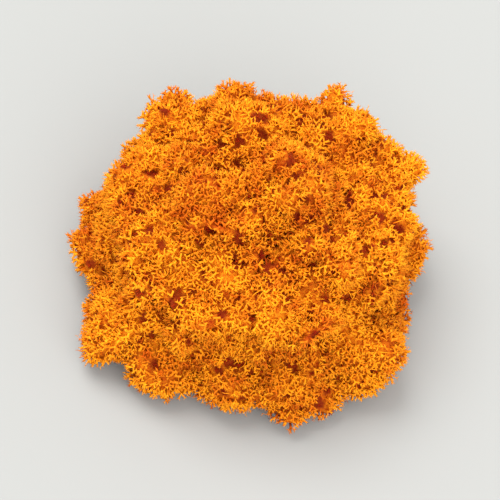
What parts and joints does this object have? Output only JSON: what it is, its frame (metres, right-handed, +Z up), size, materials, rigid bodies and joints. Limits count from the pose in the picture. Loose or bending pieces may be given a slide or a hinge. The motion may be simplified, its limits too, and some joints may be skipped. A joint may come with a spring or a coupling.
{
  "type": "reindeer moss clump",
  "caption": "Rounded cushion of orange dyed reindeer moss: knobbly heads of fine branch tips pressed side by side, on stalks that fan out from a flat underside.",
  "frame": {"origin": "on the ground under the middle of the clump", "axes": "+Z up, +X to the right and +Y away from the viewer of the picture"},
  "size_m": [0.0748, 0.073, 0.0435],
  "materials": {
    "dyed_lichen": "matt, soft and springy, dyed bright orange and darker red-brown in the depths"
  },
  "bodies": {
    "root": {"tuft_top": "dyed_lichen", "tuft_top_left": "dyed_lichen", "tuft_top_back_left": "dyed_lichen", "tuft_top_back_right": "dyed_lichen", "tuft_top_right": "dyed_lichen", "tuft_upper_back_left": "dyed_lichen", "tuft_upper_left": "dyed_lichen", "tuft_upper_front_left": "dyed_lichen", "tuft_upper_front": "dyed_lichen", "tuft_upper_front_right": "dyed_lichen", "tuft_upper_right": "dyed_lichen", "tuft_upper_back_right": "dyed_lichen", "tuft_low_front_left": "dyed_lichen", "tuft_low_front_mid_left": "dyed_lichen", "tuft_low_front": "dyed_lichen", "tuft_low_front_mid_right": "dyed_lichen", "tuft_low_front_right": "dyed_lichen", "tuft_low_right_front": "dyed_lichen", "tuft_low_right_back": "dyed_lichen", "tuft_low_left_front": "dyed_lichen", "tuft_low_left_back": "dyed_lichen", "tuft_low_back_left": "dyed_lichen", "tuft_low_back_mid_left": "dyed_lichen", "tuft_low_back": "dyed_lichen", "tuft_low_back_right": "dyed_lichen"}
  },
  "joints": []
}
